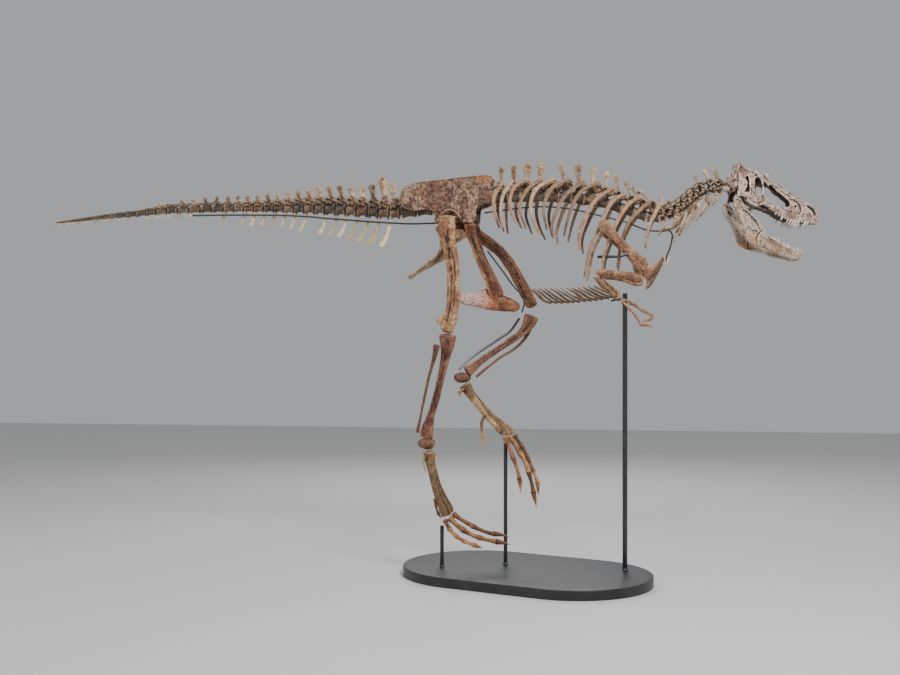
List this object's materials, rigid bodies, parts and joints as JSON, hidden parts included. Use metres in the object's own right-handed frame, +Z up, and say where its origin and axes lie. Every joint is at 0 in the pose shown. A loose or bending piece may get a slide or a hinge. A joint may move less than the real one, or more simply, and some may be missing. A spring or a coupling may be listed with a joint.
{
  "type": "mounted dinosaur skeleton",
  "caption": "Fossil skeleton of a young two-legged meat-eating dinosaur in a walking pose, held by steel rods and bars on a dark oval base.",
  "frame": {"origin": "centre of the base's underside, on the floor", "axes": "+X forward along the trunk to the head, +Y to the animal's left, +Z up"},
  "size_m": [6.0223, 1.3988, 3.0145],
  "materials": {
    "skull_bone": "matt, pinkish cream with dark red-brown cracks",
    "jaw_bone": "matt, pale grey cream with an orange patch near the chin",
    "vertebra_bone": "matt, grey cream to tan",
    "rib_bone": "matt, tan",
    "pelvis_bone": "matt, tan-pink with dark brown mottling",
    "pubis_bone": "matt, reddish brown",
    "femur_far_bone": "matt, reddish brown",
    "shin_bone": "matt, pinkish brown",
    "instep_bone": "matt, cream-yellow with reddish parts",
    "foot_bone": "matt, orange-tan",
    "shoulder_bone": "matt, pinkish tan",
    "arm_bone": "matt, tan",
    "belly_bone": "matt, brown-tan",
    "base_steel": "black satin paint",
    "rod_steel": "black to dark grey satin paint"
  },
  "bodies": {
    "root": {"stand_base": "base_steel", "stand_rod_rear": "rod_steel", "stand_rod_mid": "rod_steel", "stand_rod_front": "rod_steel", "stand_tail_bar": "rod_steel", "stand_trunk_rod": "rod_steel", "stand_chest_bar": "rod_steel", "stand_leg_bar": "rod_steel", "stand_knee_rod": "rod_steel", "skull": "skull_bone", "lower_jaw": "jaw_bone", "neck": "vertebra_bone", "ribcage_right": "rib_bone", "ribcage_left": "rib_bone", "tail_1": "vertebra_bone", "tail_2": "vertebra_bone", "tail_3": "vertebra_bone", "tail_4": "vertebra_bone", "sacrum": "vertebra_bone", "ilium_left": "pelvis_bone", "ilium_right": "pelvis_bone", "pubis": "pubis_bone", "ischium": "pubis_bone", "femur_right": "pelvis_bone", "femur_left": "femur_far_bone", "tibia_right": "shin_bone", "tibia_left": "shin_bone", "fibula_right": "shin_bone", "fibula_left": "shin_bone", "ankle_right": "foot_bone", "ankle_left": "foot_bone", "metatarsus_right": "instep_bone", "metatarsus_left": "instep_bone", "hallux_right": "foot_bone", "hallux_left": "foot_bone", "toe_inner_right": "foot_bone", "toe_inner_left": "foot_bone", "toe_middle_right": "foot_bone", "toe_middle_left": "foot_bone", "toe_outer_right": "foot_bone", "toe_outer_left": "foot_bone", "scapula_right": "shoulder_bone", "scapula_left": "shoulder_bone", "humerus_right": "arm_bone", "humerus_left": "arm_bone", "ulna_right": "arm_bone", "ulna_left": "arm_bone", "radius_right": "arm_bone", "radius_left": "arm_bone", "hand_right": "arm_bone", "hand_left": "arm_bone", "furcula": "arm_bone", "belly_ribs": "belly_bone"}
  },
  "joints": []
}
